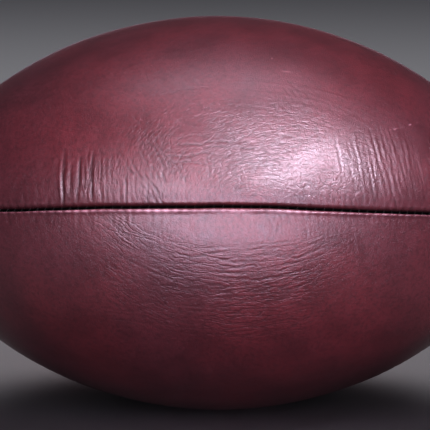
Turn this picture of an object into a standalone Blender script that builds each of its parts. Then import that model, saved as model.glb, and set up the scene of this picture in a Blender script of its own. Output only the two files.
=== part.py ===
"""A laced rugby ball of four leather panels, each lined with cloth, over a rubber bladder.

The ball lies along X. Its sub-parts are made about its centre and hang from an empty, which
turns the ball about X and lifts it so that its flat rest patch lies on the plane Z = 0.
A place on the ball is given by its meridian angle (0 at the middle, 90 degrees at a tip),
its turn about X (0 at the front seam, then top, back and bottom seams every 90 degrees),
its lateral distance from a seam's plane, and its depth under the leather's outer surface.
"""

import math

import bmesh
import bpy
from mathutils import Matrix, Vector

# Driving dimensions, in metres and radians
HALF_LENGTH = 0.146
RADIUS = 0.096
PINCH = 0.105  # share of its radius that the profile loses towards the tips, against an ellipse
REST_FLATTENING = 0.001
ROLL = math.radians(12.6)  # lifts the front seam above the horizontal

QUARTER = math.pi / 2
FRONT, TOP, BACK, BOTTOM = (index * QUARTER for index in range(4))

# Facets: every layer shares these stations and divisions, so that nested layers stay clear
STATIONS = 22
LAST_ANGLE = math.radians(88.8)
DIVISIONS = 8
ROLL_STEPS = 2

CLEARANCE = 0.0003
LEATHER = 0.0020
SEAM_GAP = CLEARANCE / 2
SEAM_ROLL = 0.0028  # outer radius of the leather where it turns into a seam
FLANGE_DEPTH = 0.0065
SKIVED_FROM = 0.020  # ball radius under which the leather and its flanges thin out to a tip

LINING = 0.0008
LINING_DEPTH = LEATHER + CLEARANCE
LINING_EDGE = 0.0036  # lateral distance from a seam at which the lining ends
LINED_ANGLE = math.radians(81)  # the lining and the bladder stop short of the tips
FULL_ANGLE = math.radians(75)  # past it the bladder draws in, clear of the flanges at the tips

BLADDER = 0.0006
BLADDER_DEPTH = LINING_DEPTH + LINING + CLEARANCE
BLADDER_EDGE = 0.0042  # lateral distance from a seam at which the bladder's groove begins
GROOVE_CLEARANCE = 0.0004

THREAD_RADIUS = 0.00035
THREAD_DEPTH = 0.0009

# Lacing, on the back seam
LACED_ANGLE = math.radians(22)  # stations within it have the open seam and the facings
DENTED_ANGLE = math.radians(30)  # stations within it have the bladder's dent under the tongue
LACE_HOLE_PAIRS = 7
LACE_PITCH = 0.014
LACE_HOLE_LATERAL = 0.0085
LACE_HOLE_RADIUS = 0.0017
LACE_RADIUS = 0.0012
LACE_HEIGHT = 0.0017  # of the lace's centre line over the leather
LACE_ARCH = 0.0003  # a bar's middle stands this much higher again
LACE_RUN_DEPTH = 0.0054
LACE_BEND = 0.0018
LACE_TAIL = 0.010
STRAIGHT_HALF_ANGLE = math.radians(75)  # a wider corner in the lace's route needs no rounding
OPEN_FLANGE_DEPTH = 0.0034
FACING = 0.0010
FACING_OUTER_EDGE = 0.0160
LACED_LINING_EDGE = 0.0165
TONGUE = 0.0015
TONGUE_DEPTH = 0.0069
TONGUE_HALF_WIDTH = 0.017
TONGUE_ANGLE = math.radians(25)
TONGUE_STATIONS = 10
TONGUE_DIVISIONS = 4
DENT_DEPTH = TONGUE_DEPTH + TONGUE + GROOVE_CLEARANCE
DENT_HALF_WIDTH = 0.0176

# Valve, in the upper back panel
VALVE_TURN = BACK - math.radians(28)
VALVE_HOLE_RADIUS = 0.0043
BOOT_NECK_RADIUS = 0.0040
BOOT_BORE_RADIUS = 0.0025
BOOT_FLANGE_RADIUS = 0.0110
BOOT_FLANGE_DEPTH = 0.0051
BOOT_DISH = 0.0005
BOOT_FLANGE = 0.0012
BOOT_TOP_DEPTH = 0.0002
BOOT_LENGTH = 0.0085
PLUG_RADIUS = 0.0022
PLUG_NEEDLE_RADIUS = 0.0005
PLUG_TOP_DEPTH = 0.0006
VALVE_CUT_LENGTH = 0.034

TURNED_STEPS = 24
HOLE_SIDES = 12
HOLE_CUT_HEIGHT = 0.002  # the hole punches reach this far over the leather
HOLE_CUT_DEPTH = 0.005  # and this far under its surface
THREAD_BEVEL_RESOLUTION = 1
LACE_BEVEL_RESOLUTION = 2
MERGE_DISTANCE = 0.00001
SHARP_ANGLE = math.radians(40)

# Colours
OXBLOOD = (0.17, 0.035, 0.045)
UNDYED_COTTON = (0.55, 0.50, 0.42)
DARK_THREAD = (0.05, 0.03, 0.03)
LACE_BROWN = (0.12, 0.05, 0.03)
RUBBER_BLACK = (0.03, 0.03, 0.03)


def clear_scene():
    for item in list(bpy.data.objects):
        bpy.data.objects.remove(item, do_unlink=True)


def make_collection(name):
    collection = bpy.data.collections.new(name)
    bpy.context.scene.collection.children.link(collection)
    return collection


def make_material(name, colour, roughness):
    material = bpy.data.materials.new(name)
    material.use_nodes = True
    shader = material.node_tree.nodes["Principled BSDF"]
    shader.inputs["Base Color"].default_value = (*colour, 1.0)
    shader.inputs["Roughness"].default_value = roughness
    shader.inputs["Metallic"].default_value = 0.0
    return material


# Places on the ball

def meridian(angle):
    """The leather surface at a meridian angle: its X, its radius, and its outward normal (X, radial)."""
    sine, cosine = math.sin(angle), math.cos(angle)
    waist = 1 - PINCH * sine * sine
    x = HALF_LENGTH * sine
    radius = RADIUS * cosine * waist
    x_slope = HALF_LENGTH * cosine
    radius_slope = -RADIUS * sine * (waist + 2 * PINCH * cosine * cosine)
    return x, radius, Vector((-radius_slope, x_slope)).normalized()


def place(angle, turn, depth, lateral=0.0):
    """A point at a turn about X, a depth under the leather and a distance square to the turn's plane."""
    x, radius, normal = meridian(angle)
    ring = radius - depth * normal.y
    full_turn = turn + math.asin(lateral / ring)
    return Vector((x - depth * normal.x, -ring * math.cos(full_turn), ring * math.sin(full_turn)))


def angle_at(x):
    return math.asin(x / HALF_LENGTH)


def stations(limit=LAST_ANGLE):
    """The shared meridian angles, from tip to tip, that lie within a limit."""
    step = 2 * LAST_ANGLE / (STATIONS - 1)
    angles = [-LAST_ANGLE + index * step for index in range(STATIONS)]
    return [angle for angle in angles if abs(angle) <= limit]


def skiving(angle):
    """1 over most of the ball, falling towards the tips, where leather and flanges are thinned."""
    return min(1.0, meridian(angle)[1] / SKIVED_FROM)


def crown(seam, angle, depth):
    """The points of a layer between a seam and the next, at the shared divisions."""
    radius = meridian(angle)[1]
    start = math.asin((SEAM_GAP + SEAM_ROLL * skiving(angle)) / radius)
    step = (QUARTER - 2 * start) / DIVISIONS
    return [place(angle, seam + start + index * step, depth) for index in range(DIVISIONS + 1)]


def lateral_of(point, seam):
    """A point's distance from a seam's plane, positive towards the next seam."""
    return point.y * math.sin(seam) + point.z * math.cos(seam)


def trimmed_crown(seam, angle, depth, first_edge, second_edge):
    """A crown whose first and last points are slid along their facets to the given laterals."""
    points = crown(seam, angle, depth)
    ends = ((0, 1, seam, first_edge, 1), (-1, -2, seam + QUARTER, second_edge, -1))
    for end, neighbour, plane, edge, side in ends:
        here = lateral_of(points[end], plane) * side
        there = lateral_of(points[neighbour], plane) * side
        points[end] = points[end].lerp(points[neighbour], (edge - here) / (there - here))
    return points


# Mesh building

def link_mesh(name, mesh, collection, parent, material=None):
    item = bpy.data.objects.new(name, mesh)
    collection.objects.link(item)
    item.parent = parent
    if material is not None:
        mesh.materials.append(material)
        mesh.shade_smooth()
        mesh.set_sharp_from_angle(angle=SHARP_ANGLE)
    return item


def mesh_from(bm, name):
    bmesh.ops.recalc_face_normals(bm, faces=bm.faces)
    if bm.calc_volume(signed=True) < 0:
        bmesh.ops.reverse_faces(bm, faces=bm.faces)
    mesh = bpy.data.meshes.new(name)
    bm.to_mesh(mesh)
    bm.free()
    return mesh


def layered_mesh(name, sections):
    """A solid sheet. A section lists (outer, inner) point pairs, and sections follow each other."""
    bm = bmesh.new()
    rows = [[[bm.verts.new(point) for point in pair] for pair in section] for section in sections]
    for row, after in zip(rows, rows[1:]):
        for side in (0, 1):
            for here, there, here_after, there_after in zip(row, row[1:], after, after[1:]):
                bm.faces.new((here[side], there[side], there_after[side], here_after[side]))
        for end in (0, -1):
            bm.faces.new((row[end][0], row[end][1], after[end][1], after[end][0]))
    for row in (rows[0], rows[-1]):
        for here, there in zip(row, row[1:]):
            bm.faces.new((here[0], there[0], there[1], here[1]))
    return mesh_from(bm, name)


def ringed_mesh(name, rings):
    """A solid whose sections are closed rings of points, with flat ends."""
    bm = bmesh.new()
    rows = [[bm.verts.new(point) for point in ring] for ring in rings]
    for row, after in zip(rows, rows[1:]):
        for index in range(len(row)):
            bm.faces.new((row[index - 1], row[index], after[index], after[index - 1]))
    bm.faces.new(rows[0])
    bm.faces.new(rows[-1])
    return mesh_from(bm, name)


def cut(item, cutter):
    boolean = item.modifiers.new("cut by " + cutter.name, "BOOLEAN")
    boolean.operation = "DIFFERENCE"
    boolean.solver = "EXACT"
    boolean.object = cutter


def hide_cutter(cutter):
    cutter.hide_render = True
    cutter.display_type = "WIRE"
    return cutter


# Leather panels

def flange_depth(seam, angle):
    """How deep a seam's flanges reach: less on the laced back seam, whose edges are only turned in."""
    is_open = math.isclose(seam % (2 * math.pi), BACK) and abs(angle) < LACED_ANGLE
    return OPEN_FLANGE_DEPTH if is_open else FLANGE_DEPTH


def turned_edge(seam, side, angle):
    """(Outer, inner) pairs from a flange's free edge up to where the leather joins the crown."""
    scale = skiving(angle)
    roll, leather = SEAM_ROLL * scale, LEATHER * scale
    depth = flange_depth(seam, angle) * scale
    profile = [((SEAM_GAP, depth), (SEAM_GAP + leather, depth))]
    for step in range(ROLL_STEPS):
        bend = QUARTER * step / ROLL_STEPS
        pair = []
        for bend_radius in (roll, roll - leather):
            lateral = SEAM_GAP + roll - bend_radius * math.cos(bend)
            pair.append((lateral, roll - bend_radius * math.sin(bend)))
        profile.append(tuple(pair))
    return [tuple(place(angle, seam, deep, side * lateral) for lateral, deep in pair) for pair in profile]


def panel_section(seam, angle):
    first = turned_edge(seam, 1, angle)
    last = turned_edge(seam + QUARTER, -1, angle)
    outer = crown(seam, angle, 0)
    inner = crown(seam, angle, LEATHER * skiving(angle))
    return first + list(zip(outer, inner)) + last[::-1]


def make_panel(name, seam, collection, parent, material):
    mesh = layered_mesh(name, [panel_section(seam, angle) for angle in stations()])
    return link_mesh(name, mesh, collection, parent, material)


# Cloth linings

def lining_edge(seam, angle):
    is_laced = math.isclose(seam, BACK) and abs(angle) < LACED_ANGLE
    return LACED_LINING_EDGE if is_laced else LINING_EDGE


def make_lining(name, seam, collection, parent, material):
    sections = []
    for angle in stations(LINED_ANGLE):
        edges = (lining_edge(seam, angle), lining_edge(seam + QUARTER, angle))
        outer = trimmed_crown(seam, angle, LINING_DEPTH, *edges)
        inner = trimmed_crown(seam, angle, LINING_DEPTH + LINING, *edges)
        sections.append(list(zip(outer, inner)))
    return link_mesh(name, layered_mesh(name, sections), collection, parent, material)


# Bladder

def groove_depth(angle):
    return FLANGE_DEPTH * skiving(angle) + GROOVE_CLEARANCE


def bladder_depth(angle):
    return BLADDER_DEPTH if abs(angle) < FULL_ANGLE else groove_depth(angle)


def bladder_edge(seam, side, angle, inset):
    """The bladder's two points beside a seam, where it is pushed in by the flanges or the tongue."""
    scale = skiving(angle)
    floor_lateral = SEAM_GAP + LEATHER * scale + GROOVE_CLEARANCE + inset / 2
    if math.isclose(seam % (2 * math.pi), BACK) and abs(angle) < DENTED_ANGLE:
        floor = (floor_lateral, DENT_DEPTH + inset)
        shoulder = (DENT_HALF_WIDTH + inset, DENT_DEPTH + inset)
    else:
        floor = (floor_lateral, groove_depth(angle) + inset)
        shoulder = ((BLADDER_EDGE + inset) * scale, bladder_depth(angle) + inset)
    return [place(angle, seam, depth, side * lateral) for lateral, depth in (floor, shoulder)]


def bladder_ring(angle, inset):
    ring = []
    for seam in (FRONT, TOP, BACK, BOTTOM):
        ring += bladder_edge(seam, 1, angle, inset)
        ring += crown(seam, angle, bladder_depth(angle) + inset)[1:-1]
        ring += bladder_edge(seam + QUARTER, -1, angle, inset)[::-1]
    return ring


def make_bladder(collection, cutters, parent, material):
    rings = [bladder_ring(angle, 0) for angle in stations(LINED_ANGLE)]
    bladder = link_mesh("bladder", ringed_mesh("bladder", rings), collection, parent, material)
    rings = [bladder_ring(angle, BLADDER) for angle in stations(LINED_ANGLE)]
    for ring, inward in ((rings[0], 1), (rings[-1], -1)):
        for point in ring:
            point.x += inward * BLADDER
    air_mesh = ringed_mesh("bladder_air", rings)
    cut(bladder, hide_cutter(link_mesh("bladder_air", air_mesh, cutters, parent)))
    return bladder


# Seam threads and lacing

def make_tube(name, points, radius, resolution, collection, parent, material):
    """A wire along points, as a beveled curve."""
    curve = bpy.data.curves.new(name, "CURVE")
    curve.dimensions = "3D"
    curve.bevel_depth = radius
    curve.bevel_resolution = resolution
    curve.use_fill_caps = True
    curve.materials.append(material)
    spline = curve.splines.new("POLY")
    spline.points.add(len(points) - 1)
    for spline_point, point in zip(spline.points, points):
        spline_point.co = (*point, 1.0)
    item = bpy.data.objects.new(name, curve)
    collection.objects.link(item)
    item.parent = parent
    return item


def make_seam_threads(collection, parent, material):
    angles = stations(LINED_ANGLE)
    runs = {
        "seam_thread_front": (FRONT, angles),
        "seam_thread_top": (TOP, angles),
        "seam_thread_bottom": (BOTTOM, angles),
        "seam_thread_back_left": (BACK, [angle for angle in angles if angle < -LACED_ANGLE]),
        "seam_thread_back_right": (BACK, [angle for angle in angles if angle > LACED_ANGLE]),
    }
    for name, (seam, run) in runs.items():
        points = [place(angle, seam, THREAD_DEPTH) for angle in run]
        make_tube(name, points, THREAD_RADIUS, THREAD_BEVEL_RESOLUTION, collection, parent, material)


def lace_hole_places():
    """The X of each pair of lace holes."""
    middle = (LACE_HOLE_PAIRS - 1) / 2
    return [(index - middle) * LACE_PITCH for index in range(LACE_HOLE_PAIRS)]


def rounded(points, bend):
    """A path with each sharp corner replaced by the start, middle and end of an arc."""
    path = [points[0]]
    for before, corner, after in zip(points, points[1:], points[2:]):
        back = (before - corner).normalized()
        onward = (after - corner).normalized()
        half_angle = back.angle(onward) / 2
        if half_angle > STRAIGHT_HALF_ANGLE:
            path.append(corner)
            continue
        tangent = bend / math.tan(half_angle)
        centre_way = (back + onward).normalized()
        centre = corner + centre_way * (bend / math.sin(half_angle))
        path += [corner + back * tangent, centre - centre_way * bend, corner + onward * tangent]
    return path + [points[-1]]


def lace_point(x, lateral, depth):
    return place(angle_at(x), BACK, depth, lateral)


def make_lace(collection, parent, material):
    """Bars across the seam on the outside, joined by slanting runs on the inside."""
    holes = lace_hole_places()
    side = LACE_HOLE_LATERAL
    route = [lace_point(holes[0] - LACE_TAIL, -side / 2, LACE_RUN_DEPTH)]
    for x in holes:
        if x != holes[0]:
            route.append(lace_point(x - LACE_PITCH / 2, 0, LACE_RUN_DEPTH))
        route.append(lace_point(x, -side, LACE_RUN_DEPTH))
        route.append(lace_point(x, -side, -LACE_HEIGHT))
        route.append(lace_point(x, 0, -LACE_HEIGHT - LACE_ARCH))
        route.append(lace_point(x, side, -LACE_HEIGHT))
        route.append(lace_point(x, side, LACE_RUN_DEPTH))
    route.append(lace_point(holes[-1] + LACE_TAIL, side / 2, LACE_RUN_DEPTH))
    path = rounded(route, LACE_BEND)
    make_tube("lace", path, LACE_RADIUS, LACE_BEVEL_RESOLUTION, collection, parent, material)


def make_lace_hole_cutter(name, side, cutters, parent):
    """A row of round pins, square to the seam, that punch one side's lace holes."""
    bm = bmesh.new()
    for x in lace_hole_places():
        top = lace_point(x, side * LACE_HOLE_LATERAL, -HOLE_CUT_HEIGHT)
        bottom = lace_point(x, side * LACE_HOLE_LATERAL, HOLE_CUT_DEPTH)
        matrix = Matrix.Translation((top + bottom) / 2)
        matrix @= (top - bottom).to_track_quat("Z", "Y").to_matrix().to_4x4()
        bmesh.ops.create_cone(
            bm, cap_ends=True, segments=HOLE_SIDES, radius1=LACE_HOLE_RADIUS,
            radius2=LACE_HOLE_RADIUS, depth=(top - bottom).length, matrix=matrix)
    return hide_cutter(link_mesh(name, mesh_from(bm, name), cutters, parent))


def make_facing(name, seam, collection, parent, material):
    """A leather strip under one edge of the lacing, in which the lace holes are punched again."""
    sections = []
    is_first = math.isclose(seam, BACK)
    for angle in stations(LACED_ANGLE):
        section = []
        for edge in (LINING_EDGE, FACING_OUTER_EDGE):
            pair = []
            for depth in (LINING_DEPTH, LINING_DEPTH + FACING):
                points = trimmed_crown(seam, angle, depth, edge, edge)
                pair.append(points[0] if is_first else points[-1])
            section.append(pair)
        sections.append(section)
    return link_mesh(name, layered_mesh(name, sections), collection, parent, material)


def make_tongue(collection, parent, material):
    sections = []
    for index in range(TONGUE_STATIONS):
        angle = TONGUE_ANGLE * (2 * index / (TONGUE_STATIONS - 1) - 1)
        section = []
        for division in range(TONGUE_DIVISIONS + 1):
            lateral = TONGUE_HALF_WIDTH * (2 * division / TONGUE_DIVISIONS - 1)
            depths = (TONGUE_DEPTH, TONGUE_DEPTH + TONGUE)
            section.append([place(angle, BACK, depth, lateral) for depth in depths])
        sections.append(section)
    return link_mesh("lace_tongue", layered_mesh("lace_tongue", sections), collection, parent, material)


# Valve

def turned(name, profile, collection, parent, material):
    """A ring turned about the valve's axis from (radius, depth) points, down its outer side first."""
    bm = bmesh.new()
    verts = [bm.verts.new((radius, 0, -depth)) for radius, depth in profile]
    for here, there in zip(verts, verts[1:] + verts[:1]):
        bm.edges.new((here, there))
    mesh = bpy.data.meshes.new(name)
    bm.to_mesh(mesh)
    bm.free()
    item = bpy.data.objects.new(name, mesh)
    mesh.materials.append(material)
    collection.objects.link(item)
    item.parent = parent
    screw = item.modifiers.new("turn", "SCREW")
    screw.steps = TURNED_STEPS
    screw.render_steps = TURNED_STEPS
    screw.use_merge_vertices = True
    screw.merge_threshold = MERGE_DISTANCE
    return item


def stand_on_valve_axis(item):
    """Puts an item's origin on the leather at the valve, with its Z axis pointing outwards."""
    outward = place(0, VALVE_TURN, 0).normalized()
    item.location = place(0, VALVE_TURN, 0)
    item.rotation_euler = outward.to_track_quat("Z", "Y").to_euler()


def make_valve(collection, parent, material):
    flange_bottom = BOOT_FLANGE_DEPTH + BOOT_DISH + BOOT_FLANGE
    boot_profile = [
        (BOOT_NECK_RADIUS, BOOT_TOP_DEPTH),
        (BOOT_NECK_RADIUS, BOOT_FLANGE_DEPTH),
        (BOOT_FLANGE_RADIUS, BOOT_FLANGE_DEPTH + BOOT_DISH),
        (BOOT_FLANGE_RADIUS, flange_bottom),
        (BOOT_NECK_RADIUS, flange_bottom),
        (BOOT_NECK_RADIUS, BOOT_LENGTH),
        (BOOT_BORE_RADIUS, BOOT_LENGTH),
        (BOOT_BORE_RADIUS, BOOT_TOP_DEPTH),
    ]
    plug_profile = [
        (PLUG_RADIUS, PLUG_TOP_DEPTH),
        (PLUG_RADIUS, BOOT_LENGTH),
        (PLUG_NEEDLE_RADIUS, BOOT_LENGTH),
        (PLUG_NEEDLE_RADIUS, PLUG_TOP_DEPTH),
    ]
    stand_on_valve_axis(turned("valve_boot", boot_profile, collection, parent, material))
    stand_on_valve_axis(turned("valve_plug", plug_profile, collection, parent, material))


def make_valve_hole_cutter(cutters, parent):
    """A round pin on the valve's axis that cuts the panel, its lining and the bladder."""
    bm = bmesh.new()
    bmesh.ops.create_cone(
        bm, cap_ends=True, segments=TURNED_STEPS, radius1=VALVE_HOLE_RADIUS,
        radius2=VALVE_HOLE_RADIUS, depth=VALVE_CUT_LENGTH)
    cutter = hide_cutter(link_mesh("valve_hole", mesh_from(bm, "valve_hole"), cutters, parent))
    stand_on_valve_axis(cutter)
    return cutter


# Ground

def make_ground_cutter(cutters):
    """A block whose top is the plane that the ball stands on."""
    size = 2 * RADIUS
    bm = bmesh.new()
    bmesh.ops.create_cube(bm, size=size)
    cutter = hide_cutter(link_mesh("ground", mesh_from(bm, "ground"), cutters, None))
    cutter.location = (0, 0, -size / 2)
    return cutter


def main():
    clear_scene()
    ball = make_collection("rugby_ball")
    cutters = make_collection("cutters")

    leather = make_material("oxblood_leather", OXBLOOD, 0.4)
    lining = make_material("cotton_lining", UNDYED_COTTON, 0.9)
    thread = make_material("waxed_thread", DARK_THREAD, 0.6)
    lacing = make_material("lace_leather", LACE_BROWN, 0.5)
    rubber = make_material("butyl_rubber", RUBBER_BLACK, 0.55)

    centre = bpy.data.objects.new("ball_centre", None)
    ball.objects.link(centre)
    centre.location = (0, 0, RADIUS - REST_FLATTENING)
    centre.rotation_euler = (-ROLL, 0, 0)

    panels = {}
    linings = {}
    quarters = {"front_upper": FRONT, "back_upper": TOP, "back_lower": BACK, "front_lower": BOTTOM}
    for where, seam in quarters.items():
        panels[where] = make_panel("panel_" + where, seam, ball, centre, leather)
        linings[where] = make_lining("lining_" + where, seam, ball, centre, lining)
    bladder = make_bladder(ball, cutters, centre, rubber)

    make_seam_threads(ball, centre, thread)
    make_lace(ball, centre, lacing)
    make_tongue(ball, centre, leather)
    for where, seam, side in (("upper", TOP, -1), ("lower", BACK, 1)):
        facing = make_facing("lace_facing_" + where, seam, ball, centre, leather)
        punch = make_lace_hole_cutter("lace_holes_" + where, side, cutters, centre)
        cut(facing, punch)
        cut(panels["back_" + where], punch)

    make_valve(ball, centre, rubber)
    valve_hole = make_valve_hole_cutter(cutters, centre)
    for item in (panels["back_upper"], linings["back_upper"], bladder):
        cut(item, valve_hole)
    cut(panels["back_lower"], make_ground_cutter(cutters))


main()
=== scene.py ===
"""A rugby ball of polished oxblood leather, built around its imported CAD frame."""

import math
from collections import namedtuple

import bmesh
import bpy
import numpy as np
from mathutils import Matrix, Quaternion, Vector


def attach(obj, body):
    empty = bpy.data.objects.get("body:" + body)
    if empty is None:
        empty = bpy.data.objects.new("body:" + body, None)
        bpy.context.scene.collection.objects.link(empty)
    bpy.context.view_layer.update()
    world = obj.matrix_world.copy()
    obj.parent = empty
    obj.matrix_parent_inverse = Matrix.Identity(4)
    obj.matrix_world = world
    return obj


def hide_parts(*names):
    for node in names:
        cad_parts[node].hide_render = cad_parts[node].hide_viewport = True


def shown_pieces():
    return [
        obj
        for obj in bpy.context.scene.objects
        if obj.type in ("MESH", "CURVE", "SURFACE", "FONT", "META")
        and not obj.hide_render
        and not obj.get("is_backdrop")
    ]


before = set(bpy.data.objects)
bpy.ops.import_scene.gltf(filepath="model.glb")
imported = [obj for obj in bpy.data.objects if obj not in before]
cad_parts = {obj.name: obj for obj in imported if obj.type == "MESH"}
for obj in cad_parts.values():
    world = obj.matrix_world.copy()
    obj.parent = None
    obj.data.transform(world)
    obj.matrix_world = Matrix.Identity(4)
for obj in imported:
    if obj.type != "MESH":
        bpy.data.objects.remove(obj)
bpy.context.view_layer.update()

MM = 0.001
TAU = 2 * math.pi
QUARTER = math.pi / 2
FRONT, TOP, BACK, BOTTOM = (index * QUARTER for index in range(4))

# The CAD's driving dimensions
HALF_LENGTH = 146 * MM
RADIUS = 96 * MM
PINCH = 0.105
REST_FLATTENING = 1 * MM
ROLL = math.radians(12.6)
CENTRE_HEIGHT = RADIUS - REST_FLATTENING
LEATHER = 2 * MM
VALVE_TURN = BACK - math.radians(28)
LACE_HOLE_PAIRS = 7
LACE_PITCH = 14 * MM
LACE_HOLE_LATERAL = 8.5 * MM

# Seams
STITCH_PITCH = 4.2 * MM
LIP_GAP = 0.42 * MM
FLANGE_DEPTHS = np.array([6.0, 4.4, 3.1]) * MM
EDGE_FADE = 5 * MM
SLIT_HALF_LENGTH = 50 * MM
SLIT_END_INSIDE = 4 * MM
SLIT_END_OUTSIDE = 2 * MM
SLIT_OPENING = 0.9 * MM
FRONT_SEAM_DROOP = 1.6 * MM
DROOP_SPAN = (15 * MM, 105 * MM)
WANDER_TIP_FADE = 30 * MM
BEAD_REACH = 1.15 * MM
TIP_ANGLE = math.radians(89.7)
STITCHED_ANGLE = math.radians(84)

Edge = namedtuple("Edge", "lip_radius sink sink_reach bead bead_place")
COMMON_EDGE = Edge(1.9 * MM, 0.7 * MM, 2.8 * MM, 0.26 * MM, 1.6 * MM)
FRONT_UPPER_EDGE = Edge(2.2 * MM, 1.6 * MM, 3.2 * MM, 0.26 * MM, 1.5 * MM)
FRONT_LOWER_EDGE = Edge(1.2 * MM, 0.15 * MM, 2.0 * MM, 0.55 * MM, 1.3 * MM)

# The panels' grids: finest where the leather creases
TABLE_STEPS = 4001
ROWS = 485
FINE_HALF_SPAN = 112 * MM
LIP_STEPS = 8
EDGE_COLUMNS = 16
EDGE_END = 12 * MM
EDGE_END_SHARE = 0.62  # the most of the ball's radius that an edge takes, near the tips
CROWN_COLUMNS = 130
CROWN_COARSENESS = 1.7
INNER_COLUMNS = 18

# Where a panel thins out, where its relief fades, and how softly it meets the floor
LIP_TAPER_RADIUS = 7 * MM
TIP_TAPER_RADIUS = 20 * MM
RELIEF_DEPTH_FADE = (0.3 * MM, 1.6 * MM)
RELIEF_TIP_FADE = (4 * MM, 14 * MM)
FLOOR_BLEND = 0.3 * MM

# Stitches, lace and valve
THREAD_RADIUS = 0.3 * MM
STITCH_HALF_SPAN = 1.15 * MM
STITCH_DEPTH = 2.2 * MM
STITCH_BOW = 0.6 * MM
STITCH_SLANT = 0.8 * MM
STITCH_POINTS = 9
STITCH_SIDES = 8
STITCH_DENT = 0.30 * MM
STITCH_DENT_PLACE = 0.9 * MM
STITCH_DENT_REACH = 1.4 * MM
LACE_WIDTH = 2.8 * MM
LACE_THICKNESS = 1.4 * MM
LACE_HEIGHT = 0.95 * MM
LACE_ARCH = 0.45 * MM
LACE_RUN_DEPTH = 5.4 * MM
LACE_TAIL = 10 * MM
LACE_BEND = 2.2 * MM
LACE_HOLE_RADIUS = 1.9 * MM
VALVE_HOLE_RADIUS = 4.25 * MM
PUNCH_REACH = 4 * MM
ROUND_SIDES = 48

# Outlines of the valve's two parts: radius and height in millimetres
VALVE_BOOT_OUTLINE = (
    (2.5, -0.95), (2.52, -0.62), (2.62, -0.42), (2.8, -0.30), (3.1, -0.24), (3.5, -0.24),
    (3.75, -0.32), (3.9, -0.46), (3.97, -0.7), (4.0, -1.1), (4.0, -4.9), (4.3, -5.2),
    (10.4, -5.6), (10.8, -5.75), (11.0, -6.1), (10.8, -6.6), (10.4, -6.75), (4.6, -6.8),
    (4.1, -7.1), (4.0, -8.2), (3.8, -8.5), (2.7, -8.5), (2.5, -8.3))
VALVE_PLUG_OUTLINE = (
    (0.5, -1.0), (0.52, -0.86), (0.64, -0.74), (0.85, -0.66), (1.05, -0.66), (1.15, -0.74),
    (1.25, -0.74), (1.35, -0.66), (1.7, -0.64), (1.95, -0.72), (2.12, -0.88), (2.2, -1.15),
    (2.2, -8.2), (2.0, -8.5), (0.7, -8.5), (0.5, -8.3))

# Colours
# the dye's dark tone, also used as painted shade in the creases and the wrinkles' valleys
DEEP_OXBLOOD_AND_SHADE = (0.052, 0.0140, 0.0180, 1)
MID_OXBLOOD = (0.120, 0.0310, 0.0400, 1)
WARM_OXBLOOD = (0.146, 0.0300, 0.0380, 1)
# pale scuff colour, also used for a painted highlight along the seams' beads
PALE_SCUFF_AND_HIGHLIGHT = (0.46, 0.27, 0.30, 1)
# painted shade: near-black between a seam's lips
PAINTED_GROOVE_SHADE = (0.003, 0.0018, 0.002, 1)
DARK_LACE, LIGHT_LACE = (0.085, 0.030, 0.016, 1), (0.17, 0.070, 0.036, 1)
DARK_THREAD, LIGHT_THREAD = (0.005, 0.003, 0.003, 1), (0.012, 0.006, 0.005, 1)
PALE_COTTON = (0.60, 0.54, 0.44, 1)
DULL_COTTON = (0.47, 0.42, 0.34, 1)
COTTON_GAPS = (0.30, 0.26, 0.20, 1)
VALVE_RUBBER = (0.022, 0.021, 0.021)
BLADDER_RUBBER = (0.030, 0.028, 0.027)
FLOOR_PAINT = (0.72, 0.72, 0.74, 1)
VIOLET_WHITE = (0.91, 0.88, 1.0)
COOL_WHITE = (0.80, 0.83, 1.0)
PLAIN_WHITE = (1, 1, 1)

# Camera, lights and view
CAMERA_ELEVATION = math.radians(11.2)
CAMERA_ROLL = math.radians(0.4)
CAMERA_DISTANCE = 1.0
CAMERA_LENS = 171.0
CAMERA_SENSOR = 36
CAMERA_CLIP_END = 50
CAMERA_TARGET = (-1.4 * MM, 0, CENTRE_HEIGHT - 1.0 * MM)
FLOOR_HALF = 6.0
WORLD_COLOUR = (0.93, 0.91, 1.0, 1)
WORLD_STRENGTH = 0.13
VIEW_GAMMA = 0.62

Light = namedtuple("Light", "name azimuth elevation distance size power colour")
BALL_LIGHTS = (
    Light("key", 30, 38, 1.3, (0.68, 0.38), 26, VIOLET_WHITE),
    Light("overhead", 12, 86, 1.4, (1.2, 0.6), 9.5, VIOLET_WHITE),
    Light("low_fill", 6, 0, 1.4, (1.1, 0.16), 15, COOL_WHITE),
    Light("left_fill", -20, 20, 1.4, (0.5, 0.3), 11, VIOLET_WHITE),
    Light("back_gloss", 180, 3, 1.5, (0.8, 0.16), 0.8, VIOLET_WHITE),
)
BACK_SOFT_LIGHT = Light("back_soft", 186, 16, 1.5, (1.4, 0.7), 60, VIOLET_WHITE)
FLOOR_LIGHT = Light("floor_light", 180, 60, 2.0, (2.0, 1.0), 17, PLAIN_WHITE)


# Noise

def gradient_noise(u, v, seed):
    """Smooth noise, about -1 to 1, over arrays of coordinates whose cells are 1 across."""
    random = np.random.RandomState(seed)
    table = random.permutation(256)
    angles = random.rand(256) * TAU
    column, row = np.floor(u).astype(int), np.floor(v).astype(int)
    across, up = u - column, v - row

    def corner(right, above):
        key = table[(table[(column + right) % 256] + row + above) % 256]
        turn = angles[key]
        return np.cos(turn) * (across - right) + np.sin(turn) * (up - above)

    ease_across = across ** 3 * (across * (6 * across - 15) + 10)
    ease_up = up ** 3 * (up * (6 * up - 15) + 10)
    low = corner(0, 0) + ease_across * (corner(1, 0) - corner(0, 0))
    high = corner(0, 1) + ease_across * (corner(1, 1) - corner(0, 1))
    return 1.5 * (low + ease_up * (high - low))


def smooth_step(value, low, high):
    share = np.clip((value - low) / (high - low), 0, 1)
    return share * share * (3 - 2 * share)


def bump_window(value, middle, width):
    """A bell-shaped rise to 1 about a middle."""
    return np.exp(-((value - middle) / width) ** 2)


# Places on the ball

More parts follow.
